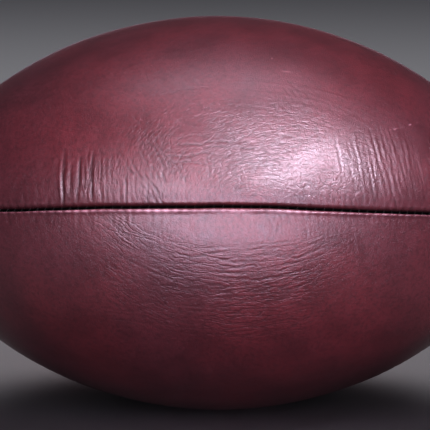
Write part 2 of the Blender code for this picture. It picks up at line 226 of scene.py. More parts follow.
def meridian(angle):
    """At a meridian angle: X, the radius, and the outward normal's X and radial parts."""
    sine, cosine = np.sin(angle), np.cos(angle)
    waist = 1 - PINCH * sine ** 2
    x_slope = HALF_LENGTH * cosine
    radius_slope = -RADIUS * sine * (waist + 2 * PINCH * cosine ** 2)
    length = np.hypot(x_slope, radius_slope)
    return HALF_LENGTH * sine, RADIUS * cosine * waist, -radius_slope / length, x_slope / length


def to_world(x, ring, turn):
    """Points at a radius and a turn about the ball's axis, as the ball lies on the floor."""
    y, z = -ring * np.cos(turn), ring * np.sin(turn)
    world_y = y * math.cos(ROLL) + z * math.sin(ROLL)
    world_z = z * math.cos(ROLL) - y * math.sin(ROLL) + CENTRE_HEIGHT
    return np.stack(np.broadcast_arrays(x, world_y, world_z), axis=-1)


def place(angle, seam, lateral, depth):
    """Points at a lateral distance from a seam's plane and a depth under the leather."""
    x, radius, normal_x, normal_r = meridian(angle)
    ring = radius - depth * normal_r
    return to_world(x - depth * normal_x, ring, seam + np.arcsin(np.clip(lateral / ring, -1, 1)))


def arc_table():
    """Matching arrays of meridian angle and distance along the leather from the ball's middle."""
    angles = np.linspace(-TIP_ANGLE, TIP_ANGLE, TABLE_STEPS)
    x, radius, _, _ = meridian(angles)
    steps = np.hypot(np.diff(x), np.diff(radius))
    along = np.concatenate([[0], np.cumsum(steps)])
    return angles, along - along[-1] / 2


ARC_ANGLES, ARC_LENGTHS = arc_table()
HALF_ARC = ARC_LENGTHS[-1]


def angle_at(along):
    return np.interp(along, ARC_LENGTHS, ARC_ANGLES)


def row_places(coarseness):
    """Distances along the leather for a panel's rows, closer together in the middle span."""
    along = np.linspace(-HALF_ARC, HALF_ARC, TABLE_STEPS)
    spacing = 1 + (coarseness - 1) * smooth_step(np.abs(along), FINE_HALF_SPAN, FINE_HALF_SPAN * 1.3)
    count = np.concatenate([[0], np.cumsum(1 / spacing[1:])])
    return np.interp(np.linspace(0, count[-1], ROWS), count, along)


# Mesh building

def add_object(name, data):
    item = bpy.data.objects.new(name, data)
    bpy.context.scene.collection.objects.link(item)
    return item


def mesh_object(name, points, faces, attributes=None):
    """A smooth-shaded object from an array of points, a list of faces and values for each point."""
    mesh = bpy.data.meshes.new(name)
    mesh.from_pydata(points.reshape(-1, 3).tolist(), [], faces)
    mesh.update()
    mesh.shade_smooth()
    for key, values in (attributes or {}).items():
        kind = "FLOAT_VECTOR" if values.ndim == 2 else "FLOAT"
        layer = mesh.attributes.new(key, kind, "POINT")
        layer.data.foreach_set("vector" if values.ndim == 2 else "value", values.ravel())
    return add_object(name, mesh)


def face_outwards(item):
    bm = bmesh.new()
    bm.from_mesh(item.data)
    bmesh.ops.recalc_face_normals(bm, faces=bm.faces)
    bm.to_mesh(item.data)
    bm.free()


def ring_quads(rows, columns, first=0):
    """Quads of a grid whose last column joins its first."""
    index = np.arange(rows * columns).reshape(rows, columns) + first
    onward = np.roll(index, -1, axis=1)
    return np.stack([index[:-1], onward[:-1], onward[1:], index[1:]], axis=-1).reshape(-1, 4).tolist()


def capped_tube_faces(rows, columns, first=0):
    last = first + rows * columns
    caps = [list(range(first, first + columns)), list(range(last - columns, last))[::-1]]
    return ring_quads(rows, columns, first) + caps


def sweep(name, paths, section):
    """Capped tubes along paths, an array of (path, point, XYZ). The section's first axis lies towards X."""
    tangent = np.gradient(paths, axis=1)
    tangent /= np.linalg.norm(tangent, axis=-1, keepdims=True)
    width = np.array([1.0, 0, 0]) - tangent[..., :1] * tangent
    width /= np.linalg.norm(width, axis=-1, keepdims=True)
    thickness = np.cross(tangent, width)
    width, thickness = width[:, :, None, :], thickness[:, :, None, :]
    points = paths[:, :, None, :] + width * section[:, :1] + thickness * section[:, 1:]
    rows, sides = paths.shape[1], len(section)
    faces = []
    for index in range(len(paths)):
        faces += capped_tube_faces(rows, sides, index * rows * sides)
    item = mesh_object(name, points, faces)
    face_outwards(item)
    return item


def round_section(radius, sides):
    turns = np.arange(sides) * TAU / sides
    return np.stack([radius * np.cos(turns), radius * np.sin(turns)], axis=-1)


def strap_section(width, thickness, sides, squareness):
    """A flat strap's outline, whose corners are round."""
    turns = np.arange(sides) * TAU / sides
    outline = []
    for size, wave in ((width, np.cos(turns)), (thickness, np.sin(turns))):
        outline.append(size / 2 * np.sign(wave) * np.abs(wave) ** (1 / squareness))
    return np.stack(outline, axis=-1)


def cut(item, cutter):
    """Cuts one closed object from another for good, and removes the cutter."""
    boolean = item.modifiers.new("cut", "BOOLEAN")
    boolean.operation = "DIFFERENCE"
    boolean.solver = "EXACT"
    boolean.object = cutter
    graph = bpy.context.evaluated_depsgraph_get()
    whole = item.data
    item.data = bpy.data.meshes.new_from_object(item.evaluated_get(graph), depsgraph=graph)
    item.modifiers.clear()
    if len(item.data.vertices) == len(whole.vertices):
        raise RuntimeError("the cut did nothing to " + item.name)
    bpy.data.meshes.remove(whole)
    bpy.data.objects.remove(cutter)


def finish_piece(item, material, node):
    """Gives a piece its material and its material slot, and has it replace a CAD node."""
    item.data.materials.append(material)
    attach(item, "root")
    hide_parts(node)


# Leather panels

def seam_index(seam):
    """A seam's number in its turn about the ball, from 0 at the front."""
    return int(round(seam / QUARTER)) % 4


def seam_noise(seam, along, cell, seed):
    """Noise along a seam, different on each seam but the same for both its edges."""
    return gradient_noise(along / cell + 7.3 * seam_index(seam), np.full_like(along, 0.5), seed)


def seam_wander(seam, along):
    """How far a hand-sewn seam strays sideways from its plane."""
    drift = (0.45 * seam_noise(seam, along, 45 * MM, 11) + 0.20 * seam_noise(seam, along, 14 * MM, 12)) * MM
    if seam_index(seam) == 0:
        drift = drift - FRONT_SEAM_DROOP * smooth_step(np.abs(along), *DROOP_SPAN)
    return drift * smooth_step(HALF_ARC - np.abs(along), 0, WANDER_TIP_FADE)


def slit_share(seam, along):
    """1 along the laced slit in the back seam, and 0 where the seam is stitched."""
    if seam_index(seam) != 2:
        return np.zeros_like(along)
    narrowing, end = SLIT_HALF_LENGTH - SLIT_END_INSIDE, SLIT_HALF_LENGTH + SLIT_END_OUTSIDE
    return 1 - smooth_step(np.abs(along), narrowing, end)


def edge_shape(seam, side):
    """The shape of a seam's edge above it, on side 1, or below it, on side -1."""
    if seam_index(seam) != 0:
        return COMMON_EDGE
    return FRONT_UPPER_EDGE if side > 0 else FRONT_LOWER_EDGE


def seam_depth(seam, side, along, lateral):
    """How far the leather sinks towards a seam, less the bead along its edge, which each stitch dents."""
    edge = edge_shape(seam, side)
    sink = edge.sink * np.exp(-lateral / edge.sink_reach)
    swelling = 1 + 0.35 * seam_noise(seam, along, 9 * MM, 23 + side)
    bead = edge.bead * swelling * bump_window(lateral, edge.bead_place, BEAD_REACH)
    uneven = 1 + 0.6 * seam_noise(seam, along, 6 * MM, 21)
    towards_tips = 0.40 + 0.60 * smooth_step(np.abs(along), 20 * MM, 95 * MM)
    pull = (0.5 + 0.5 * np.cos(TAU * along / STITCH_PITCH)) ** 2
    near = bump_window(lateral, STITCH_DENT_PLACE, STITCH_DENT_REACH)
    stitched = 1 - slit_share(seam, along)
    return sink - bead + stitched * uneven * towards_tips * STITCH_DENT * pull * near


def edge_profile(radius):
    """Laterals and depths from a flange's free edge, round the lip, to the flat leather."""
    bends = np.linspace(0, QUARTER, LIP_STEPS + 1)[:-1]
    laterals = np.concatenate([np.full_like(FLANGE_DEPTHS, LIP_GAP), LIP_GAP + radius * (1 - np.cos(bends))])
    depths = np.concatenate([FLANGE_DEPTHS, radius * (1 - np.sin(bends))])
    return laterals, depths


def crown_shares(fine_first):
    """Shares of the way across the crown, closer together near the creased edge if there is one."""
    share = np.linspace(0, 1, 2001)
    coarser = 0 if fine_first is None else CROWN_COARSENESS
    spacing = 1 + coarser * smooth_step(share, 0.40, 0.55)
    count = np.concatenate([[0], np.cumsum(1 / spacing[1:])])
    shares = np.interp(np.linspace(0, count[-1], CROWN_COLUMNS), count, share)
    return 1 - shares[::-1] if fine_first is False else shares


def edge_width(radius):
    """How far from a seam's plane an edge's columns end and the crown's begin."""
    return np.minimum(EDGE_END, EDGE_END_SHARE * radius)


def panel_edge(seam, side, along, radius, normal_r):
    """One edge's turns about X, its depths, and its depths before the seam's sinking."""
    laterals, depths = edge_profile(edge_shape(seam, side).lip_radius)
    scale = np.minimum(1, radius / LIP_TAPER_RADIUS)[:, None]
    edge_end = edge_width(radius)[:, None]
    lip_end = (LIP_GAP + edge_shape(seam, side).lip_radius) * scale
    share = np.linspace(0, 1, EDGE_COLUMNS + 1)[:-1]
    lateral = np.concatenate([laterals * scale, lip_end + share * (edge_end - lip_end)], axis=1)
    flat = np.concatenate([depths, np.zeros(EDGE_COLUMNS)]) * scale
    fade = np.exp(-lateral / EDGE_FADE)
    opened = slit_share(seam, along)[:, None] * SLIT_OPENING * fade
    strayed = side * (lateral + opened) + seam_wander(seam, along)[:, None] * fade
    ring = radius[:, None] - flat * normal_r[:, None]
    turn = seam + np.arcsin(np.clip(strayed / ring, -1, 1))
    return turn, flat + seam_depth(seam, side, along[:, None], lateral) * scale, flat


def panel_layout(seam, along, radius, normal_r, fine_first):
    """Turns, depths and unsunk depths of all a panel's outer columns."""
    first, last = seam, seam + QUARTER
    first_turn, first_depth, first_flat = panel_edge(first, 1, along, radius, normal_r)
    last_turn, last_depth, last_flat = panel_edge(last, -1, along, radius, normal_r)
    margin = np.arcsin(edge_width(radius) / radius)[:, None]
    middle = first + margin + crown_shares(fine_first) * (QUARTER - 2 * margin)
    wide_radius, wide_along = radius[:, None], along[:, None]
    sunk = seam_depth(first, 1, wide_along, (middle - first) * wide_radius)
    sunk = sunk + seam_depth(last, -1, wide_along, (last - middle) * wide_radius)
    turn = np.concatenate([first_turn, middle, last_turn[:, ::-1]], axis=1)
    depth = np.concatenate([first_depth, sunk, last_depth[:, ::-1]], axis=1)
    flat = np.concatenate([first_flat, np.zeros_like(middle), last_flat[:, ::-1]], axis=1)
    return turn, depth, flat


def panel_inside(seam, turn, outer_depth, flat, radius, normal_r, x, normal_x):
    """The flesh side's points, from the last outer column back to the first."""
    keys = np.linspace(turn.shape[1] - 1, 0, INNER_COLUMNS).astype(int)
    thick = LEATHER * np.minimum(1, radius / TIP_TAPER_RADIUS)
    depth = outer_depth[:, keys] + thick
    inset = thick * smooth_step(flat[:, keys], 0.5 * MM, 2.5 * MM)
    away = np.sign(seam + QUARTER / 2 - turn[:, keys])
    ring = radius - depth * normal_r
    return to_world(x - depth * normal_x, ring, turn[:, keys] + away * inset / radius)


def make_panel(name, seam, relief, coarseness, fine_first):
    """A closed leather panel between a seam and the next, with its edges turned in."""
    along = row_places(coarseness)
    x, radius, normal_x, normal_r = meridian(angle_at(along))
    turn, depth, flat = panel_layout(seam, along, radius, normal_r, fine_first)
    x, radius, normal_x, normal_r = (part[:, None] for part in (x, radius, normal_x, normal_r))
    away_first = np.maximum((turn - seam) * radius, 0)
    away_last = np.maximum((seam + QUARTER - turn) * radius, 0)
    wide_along = np.broadcast_to(along[:, None], turn.shape)
    swell, crease, scuff_and_highlight, creased, flow = relief(wide_along / MM, away_first / MM, away_last / MM)
    on_top = 1 - smooth_step(flat, *RELIEF_DEPTH_FADE)
    off_tip = smooth_step(radius, *RELIEF_TIP_FADE)
    crease = crease * on_top * off_tip
    depth = depth - (swell + crease) * MM * on_top * off_tip

    outer = to_world(x - depth * normal_x, radius - depth * normal_r, turn)
    inner = panel_inside(seam, turn, depth, flat, radius, normal_r, x, normal_x)
    points = np.concatenate([outer, inner], axis=1)
    lift = points[..., 2]
    points[..., 2] = (lift + np.sqrt(lift ** 2 + FLOOR_BLEND ** 2)) / 2  # it lies flat on the floor
    rows, columns = points.shape[:2]
    pad = np.zeros((rows, INNER_COLUMNS))
    attributes = {
        "crease": np.concatenate([crease, pad], axis=1).ravel(),
        # scuffs, and a painted highlight along the front seam's beads
        "scuff_and_highlight": np.concatenate([scuff_and_highlight * on_top, pad], axis=1).ravel(),
        "creased": np.concatenate([creased, pad], axis=1).ravel(),
        "turned_in": np.concatenate([flat / MM, pad + 3], axis=1).ravel(),
        "flow": np.concatenate([flow, np.zeros((rows, INNER_COLUMNS, 3))], axis=1).reshape(-1, 3),
    }
    item = mesh_object(name, points, capped_tube_faces(rows, columns), attributes)
    item.data.flip_normals()
    return item


# Creases. Every length here is in millimetres, and an oval's course in degrees round it.

def oval_courses(along, away, centre, stretch):
    """The angle round ovals about a point on a seam, and their size square to the seam."""
    across = (along - centre) / stretch
    return np.degrees(np.arctan2(away, across)), np.hypot(across, away)


def bowl_courses(along, away, centre, left_rise, right_rise, tilt=0.0):
    """Distances along and across shallow bowls, which rise from their centre towards the seam."""
    from_centre = along - centre
    rise = np.where(from_centre < 0, left_rise, right_rise) * from_centre ** 2
    return along, away + rise + tilt * from_centre


def straight_courses(along, away, lean):
    """Distances along and across lines that lean by an angle from the square to the seam."""
    lean = math.radians(lean)
    course = away * math.cos(lean) - along * math.sin(lean)
    return course, along * math.cos(lean) + away * math.sin(lean)


def groove(offset, width):
    """A crease's cross-section: a narrow valley between two soft shoulders."""
    share = np.abs(offset) / width
    return 0.5 * np.exp(-((share - 2.0) / 1.2) ** 2) - np.exp(-share ** 2)


def ridge(offset, width):
    """A raised crease's cross-section."""
    return np.exp(-(offset / width) ** 2)


def add_strokes(
        height, courses, draw, count, course, across, length, depth,
        width=0.75, sway=0.7, wave=9.0, bow=0.0, profile=groove):
    """Adds strokes that follow the courses, spread evenly over a span across them.

    The middle of each lies in the range "course" along them. Each sways to both sides over
    distances of about "wave", and may bow to one side.
    """
    along_it, offset = courses
    for index in range(count):
        middle = draw.uniform(*course)
        half = draw.uniform(*length) / 2
        place_across = across[0] + (index + draw.uniform(0.1, 0.9)) / count * (across[1] - across[0])
        strength = depth * draw.uniform(0.45, 1.25)
        thickness = width * draw.uniform(0.75, 1.3)
        curve = bow * draw.uniform(-1, 1)
        share = np.clip((along_it - middle) / half, -1, 1)
        beside = np.abs(offset - place_across) < 5 * thickness + 2 * sway
        near = (np.abs(along_it - middle) < half) & beside
        swayed = gradient_noise(along_it[near] / wave, np.full(near.sum(), index + 0.5), draw.randint(9999))
        distance = offset[near] - place_across - sway * swayed - curve * (1 - share[near] ** 2)
        taper = (1 - share[near] ** 2) ** 0.8
        height[near] += strength * taper * profile(distance, thickness)


def add_puckers(height, along, away, draw, count, depth, length=(4, 10)):
    """Short folds square to a seam, which its stitches draw up."""
    courses = straight_courses(along, away, 0)
    add_strokes(
        height, courses, draw, count, (1, 6), (-150, 150), length, depth, width=0.6, sway=0.4, wave=5)
    longer = (length[0] * 1.5, length[1] * 2.2)
    add_strokes(height, courses, draw, count // 3, (2, 10), (-140, 140), longer, depth * 0.8, width=0.9)


def unevenness(along, away, seed):
    """The slow swells of leather that has been blown up and knocked about."""
    swell = gradient_noise(along / 48, away / 37, seed) * 0.22
    return swell + gradient_noise(along / 15, away / 13, seed + 1) * 0.035


def specks(along, away, draw, count):
    """Small pale nicks, strewn at random."""
    scuff_and_highlight = np.zeros_like(along)
    for _ in range(count):
        middle, height = draw.uniform(-120, 120), draw.uniform(4, 140)
        size = draw.uniform(0.25, 0.45)
        scuff_and_highlight += draw.uniform(0.2, 0.6) * np.exp(-((along - middle) ** 2 + (away - height) ** 2) / size ** 2)
    return scuff_and_highlight


def painted_lip_highlight(along, away, distance, seed):
    """Painted highlight along the bead beside a seam, brightest between the stitches."""
    between = 0.80 - 0.20 * np.cos(TAU * along * MM / STITCH_PITCH)
    patchy = 0.80 + 0.4 * gradient_noise(along / 17, np.full_like(along, 0.5), seed)
    return bump_window(away, distance, 1.0) * between * patchy


def flow_vector(courses, away, shortening):
    """Coordinates for the finest wrinkles, which run round the ovals."""
    angle, size = courses
    return np.stack([size, np.radians(angle) * size * shortening, away], axis=-1)


def front_upper_relief(along, away, away_last):
    """Swells, creases, scuffs with a painted highlight along the seam's bead, where fine wrinkles lie and
    how they run, for the front's upper panel.
    """
    draw = np.random.RandomState(31)
    crease = np.zeros_like(along)
    ovals = oval_courses(along, away, 11, 1.5)
    upright = straight_courses(along, away, 0)
    level = (along, away)
    slanted = straight_courses(along, away, 33)
    sheaf = straight_courses(along, away, 14)
    # strong upright creases at the left, and weaker ones beside them
    add_strokes(crease, upright, draw, 8, (12, 15), (-74, -53), (15, 27), 0.27, width=0.6, sway=0.9, wave=12)
    add_strokes(crease, upright, draw, 16, (6, 18), (-62, -40), (8, 20), 0.12, width=0.45)
    # slanting ones between them and the middle
    add_strokes(crease, slanted, draw, 13, (20, 36), (-26, -3), (8, 22), 0.24, width=0.48, sway=1.1, wave=6)
    add_strokes(crease, slanted, draw, 36, (14, 56), (-34, 6), (4, 14), 0.11, width=0.42, sway=1.0, wave=5)
    add_strokes(crease, upright, draw, 26, (4, 16), (-45, 14), (6, 18), 0.10, width=0.42, wave=6)
    # level cracks over the middle, and a net of fine ones in the brightest part
    add_strokes(crease, level, draw, 12, (-22, 30), (18, 34), (20, 44), 0.13, width=0.42, sway=1.6, wave=10)
    add_strokes(crease, level, draw, 50, (20, 70), (5, 38), (4, 12), 0.08, width=0.40, sway=1.0, wave=4)
    add_strokes(crease, slanted, draw, 60, (5, 36), (0, 66), (3, 9), 0.08, width=0.40, sway=0.8, wave=4)
    # the sheaf at the right, and long faint arcs over the top
    add_strokes(crease, sheaf, draw, 44, (-8, 11), (57, 98), (10, 32), 0.12, width=0.42, sway=0.8, wave=9)
    add_strokes(
        crease, sheaf, draw, 20, (-6, 10), (60, 94), (14, 34), 0.11, width=0.40, wave=12, profile=ridge)
    add_strokes(crease, ovals, draw, 18, (60, 125), (42, 66), (12, 36), 0.06, width=0.42, sway=1.0, wave=10)
    add_strokes(
        crease, ovals, draw, 10, (60, 120), (44, 64), (24, 60), 0.06, width=0.40, wave=16, profile=ridge)
    add_puckers(crease, along, away, draw, 70, 0.06)
    add_puckers(crease, along, away_last, draw, 90, 0.12)
    scuff_and_highlight = specks(along, away, draw, 9)
    add_strokes(scuff_and_highlight, level, draw, 1, (32, 32), (69, 70), (12, 13), 0.3, width=0.4, sway=0.2, profile=ridge)
    # a painted highlight along the upper lip's bead, added to the scuffs
    scuff_and_highlight += 0.12 * painted_lip_highlight(along, away, 1.9, 41)
    scratch = straight_courses(along, away, -71)
    add_strokes(
        scuff_and_highlight, scratch, draw, 14, (79, 105), (-9.9, -9.2), (1, 3), 0.28, width=0.3, sway=0.2, profile=ridge)
    patchy = 0.75 + 0.6 * gradient_noise(along / 22, away / 17, 47)
    creased = np.clip(patchy, 0, 1) * (1 - smooth_step(ovals[1], 36, 68)) * smooth_step(away, 0, 6)
    return unevenness(along, away, 45), crease, scuff_and_highlight, creased, flow_vector(ovals, away, 2.4)


def front_lower_relief(along, away_first, away):
    """The same for the front's lower panel."""
    draw = np.random.RandomState(51)
    crease = np.zeros_like(along)
    bowls = bowl_courses(along, away, 6, 0.0062, 0.0040)
    tilted = bowl_courses(along, away, 6, 0.0048, 0.0045, 0.10)
    shallow = bowl_courses(along, away, -10, 0.0015, 0.0030, 0.05)
    upright = straight_courses(along, away, 0)
    slanted = straight_courses(along, away, -24)
    # dense ripples in a bowl under the seam, in two sets that run into each other
    add_strokes(crease, bowls, draw, 44, (-40, 44), (17, 38), (9, 28), 0.085, width=0.40, sway=0.8, wave=9)
    add_strokes(crease, tilted, draw, 52, (-26, 52), (18, 48), (8, 26), 0.080, width=0.40, sway=0.8, wave=8)
    add_strokes(crease, tilted, draw, 70, (-34, 54), (15, 46), (4, 11), 0.055, width=0.38, sway=0.8, wave=5)
    # fainter, nearly level ones farther down
    add_strokes(crease, shallow, draw, 40, (-52, 26), (34, 66), (8, 28), 0.060, width=0.42, sway=0.8, wave=9)
    # fine radial lines under the seam
    add_strokes(crease, upright, draw, 70, (4, 16), (-76, 75), (5, 15), 0.055, width=0.42, sway=0.7, wave=5)
    add_strokes(crease, slanted, draw, 16, (8, 16), (0, 34), (6, 14), 0.070, width=0.42, sway=0.7, wave=5)
    add_puckers(crease, along, away, draw, 90, 0.05, (3, 7))
    add_puckers(crease, along, away_first, draw, 80, 0.12)
    # the specks are real nicks; the rest is a painted highlight along the lower lip's bead
    scuff_and_highlight = specks(along, away, draw, 8) + 0.50 * painted_lip_highlight(along, away, 1.5, 61)
    patchy = 0.8 + 0.6 * gradient_noise(along / 22, away / 17, 67)
    creased = smooth_step(bowls[1], 10, 24) * (1 - smooth_step(bowls[1], 46, 82))
    sides = (1 - 0.6 * smooth_step(along, 25, 70)) * (1 - 0.7 * smooth_step(-along, 38, 62))
    creased = np.clip(patchy, 0, 1) * creased * sides
    flow = np.stack([bowls[1], 0.6 * along, away], axis=-1)
    return unevenness(along, away, 65), crease, scuff_and_highlight, creased, flow


def back_relief(centre, stretch, lean, from_first, seed):
    """The same for a panel at the back, creased round a point on one of its seams."""
    def relief(along, away_first, away_last):
        draw = np.random.RandomState(seed)
        crease = np.zeros_like(along)
        away = away_first if from_first else away_last
        ovals = oval_courses(along, away, centre, stretch)
        upright = straight_courses(along, away, 6)
        slanted = straight_courses(along, away, lean)
        add_strokes(crease, ovals, draw, 60, (25, 155), (18, 52), (8, 28), 0.09, width=0.95, wave=8)
        add_strokes(crease, ovals, draw, 20, (40, 140), (48, 74), (12, 36), 0.06, width=0.95, wave=10)
        add_strokes(crease, upright, draw, 34, (6, 26), (-95, 95), (8, 22), 0.09, width=0.95, wave=8)
        add_strokes(crease, slanted, draw, 18, (14, 48), (-50, 30), (8, 24), 0.10, width=1.0, wave=8)
        add_puckers(crease, along, away_first, draw, 90, 0.10)
        add_puckers(crease, along, away_last, draw, 90, 0.10)
        scuff_and_highlight = specks(along, away, draw, 12)
        patchy = 0.75 + 0.6 * gradient_noise(along / 22, away / 17, seed + 3)
        ring = smooth_step(ovals[1], 8, 20) * (1 - smooth_step(ovals[1], 46, 80))
        creased = np.clip(patchy, 0, 1) * ring
        return unevenness(along, away, seed + 9), crease, scuff_and_highlight, creased, flow_vector(ovals, away, 1.8)
    return relief


def lace_hole_places():
    """The X of each pair of lace holes."""
    middle = (LACE_HOLE_PAIRS - 1) / 2
    return [(index - middle) * LACE_PITCH for index in range(LACE_HOLE_PAIRS)]


def back_point(x, lateral, depth):
    """A point by its X, beside the back seam."""
    return place(math.asin(x / HALF_LENGTH), BACK, lateral, depth)


def punch(name, ends, radius):
    """Round pins between pairs of points, joined as one cutter."""
    bm = bmesh.new()
    for top, bottom in ends:
        top, bottom = Vector(top), Vector(bottom)
        turn = (top - bottom).to_track_quat("Z", "Y").to_matrix().to_4x4()
        bmesh.ops.create_cone(
            bm, cap_ends=True, segments=ROUND_SIDES // 2, radius1=radius, radius2=radius,
            depth=(top - bottom).length, matrix=Matrix.Translation((top + bottom) / 2) @ turn)
    mesh = bpy.data.meshes.new(name)
    bm.to_mesh(mesh)
    bm.free()
    return add_object(name, mesh)


def punch_panels(upper, lower):
    """Punches a row of lace holes in each panel at the back, and the valve's hole in the upper one."""
    reach = (-PUNCH_REACH, PUNCH_REACH)
    for panel, lateral in ((upper, -LACE_HOLE_LATERAL), (lower, LACE_HOLE_LATERAL)):
        ends = [[back_point(x, lateral, depth) for depth in reach] for x in lace_hole_places()]
        cut(panel, punch("lace_punch", ends, LACE_HOLE_RADIUS))
    ends = [[place(0, VALVE_TURN, 0, depth) for depth in reach]]
    cut(upper, punch("valve_punch", ends, VALVE_HOLE_RADIUS))


def make_panels():
    """The four leather panels, the back ones with their holes."""
    leather = leather_material()
    panels = {}
    for name, seam, relief, coarseness, fine_first in (
            ("front_upper", FRONT, front_upper_relief, 1.9, True),
            ("front_lower", BOTTOM, front_lower_relief, 1.9, False),
            ("back_upper", TOP, back_relief(-18, 1.5, 30, False, 70), 1.4, None),
            ("back_lower", BACK, back_relief(14, 1.6, -26, True, 90), 1.4, None)):
        panels[name] = make_panel("leather_" + name, seam, relief, coarseness, fine_first)
    punch_panels(panels["back_upper"], panels["back_lower"])
    for name, panel in panels.items():
        finish_piece(panel, leather, "panel_" + name)


# Stitches

def make_stitches(name, seam, low, high, material):
    """A slanting bar of thread across a seam at each stitch, from one lip's inside to the other's."""
    count = int((high - low) / STITCH_PITCH)
    along = low + (np.arange(count) + 0.5) * (high - low) / count
    share = np.linspace(-1, 1, STITCH_POINTS)
    scale = np.minimum(1, meridian(angle_at(along))[1] / TIP_TAPER_RADIUS)[:, None]
    lateral = STITCH_HALF_SPAN * share * scale
    depth = (STITCH_DEPTH + STITCH_BOW * share ** 2) * np.ones_like(scale)
    slant = along[:, None] + STITCH_SLANT * share
    shift = seam_wander(seam, slant)
    paths = place(angle_at(slant), seam, lateral + shift, depth)
    stitches = sweep("stitches_" + name, paths, round_section(THREAD_RADIUS, STITCH_SIDES))
    finish_piece(stitches, material, "seam_thread_" + name)


def make_all_stitches():
    thread = thread_material()
    reach = np.interp(STITCHED_ANGLE, ARC_ANGLES, ARC_LENGTHS)
    slit = SLIT_HALF_LENGTH + SLIT_END_OUTSIDE
    for name, seam, low, high in (
            ("front", FRONT, -reach, reach),
            ("top", TOP, -reach, reach),
            ("bottom", BOTTOM, -reach, reach),
            ("back_left", BACK, -reach, -slit),
            ("back_right", BACK, slit, reach)):
        make_stitches(name, seam, low, high, thread)


# Lace

def rounded_path(corners, bend, steps):
    """A path through corners, each one swept round in a curve."""
    path = [corners[0]]
    for before, corner, after in zip(corners, corners[1:], corners[2:]):
        back, onward = before - corner, after - corner
        start = corner + back * min(0.48, bend / np.linalg.norm(back))
        end = corner + onward * min(0.48, bend / np.linalg.norm(onward))
        for share in np.linspace(0, 1, steps):
            path.append(start * (1 - share) ** 2 + 2 * corner * share * (1 - share) + end * share ** 2)
    return np.array(path + [corners[-1]])


def make_lace():
    """A flat thong: bars across the slit, joined by slanting runs on the inside."""
    holes, side = lace_hole_places(), LACE_HOLE_LATERAL
    draw = np.random.RandomState(7)
    corners = [back_point(holes[0] - LACE_TAIL, -side / 2, LACE_RUN_DEPTH)]
    for x in holes:
        if x != holes[0]:
            corners.append(back_point(x - LACE_PITCH / 2, 0, LACE_RUN_DEPTH))
        askew = draw.uniform(-0.35, 0.35) * MM
        lift = draw.uniform(0, 0.2) * MM
        corners.append(back_point(x, -side, LACE_RUN_DEPTH))
        corners.append(back_point(x, -side, -LACE_HEIGHT))
        corners.append(back_point(x + askew, 0, -LACE_HEIGHT - LACE_ARCH - lift))
        corners.append(back_point(x, side, -LACE_HEIGHT))
        corners.append(back_point(x, side, LACE_RUN_DEPTH))
    corners.append(back_point(holes[-1] + LACE_TAIL, side / 2, LACE_RUN_DEPTH))
    path = rounded_path(corners, LACE_BEND, 7)
    lace = sweep("lace_thong", path[None], strap_section(LACE_WIDTH, LACE_THICKNESS, 20, 2.2))
    finish_piece(lace, lace_material(), "lace")


# Valve

def turned(name, outline):
    """A ring turned about the valve's axis."""
    origin = place(0, VALVE_TURN, 0, 0)
    outward = place(0, VALVE_TURN, 0, -1) - origin
    side = np.cross(outward, [1.0, 0, 0])
    turns = np.arange(ROUND_SIDES) * TAU / ROUND_SIDES
    around = np.cos(turns)[:, None] * np.array([1.0, 0, 0]) + np.sin(turns)[:, None] * side
    radii, heights = np.array(outline).T * MM
    points = origin + around[:, None, :] * radii[:, None] + outward * heights[:, None]
    index = np.arange(ROUND_SIDES * len(outline)).reshape(ROUND_SIDES, len(outline))
    onward, after = np.roll(index, -1, axis=0), np.roll(index, -1, axis=1)
    both = np.roll(onward, -1, axis=1)
    faces = np.stack([index, onward, both, after], axis=-1).reshape(-1, 4).tolist()
    item = mesh_object(name, points, faces)
    face_outwards(item)
    item.data.set_sharp_from_angle(angle=math.radians(50))
    return item


def make_valve():
    """A rubber boot that ends flush with the leather, and the plug that a needle goes through."""
    boot = turned("valve_boot_rim", VALVE_BOOT_OUTLINE)
    plug = turned("valve_plug_cap", VALVE_PLUG_OUTLINE)
    rubber = rubber_material("valve_rubber", VALVE_RUBBER, 0.45)
    finish_piece(boot, rubber, "valve_boot")
    finish_piece(plug, rubber, "valve_plug")


# Materials

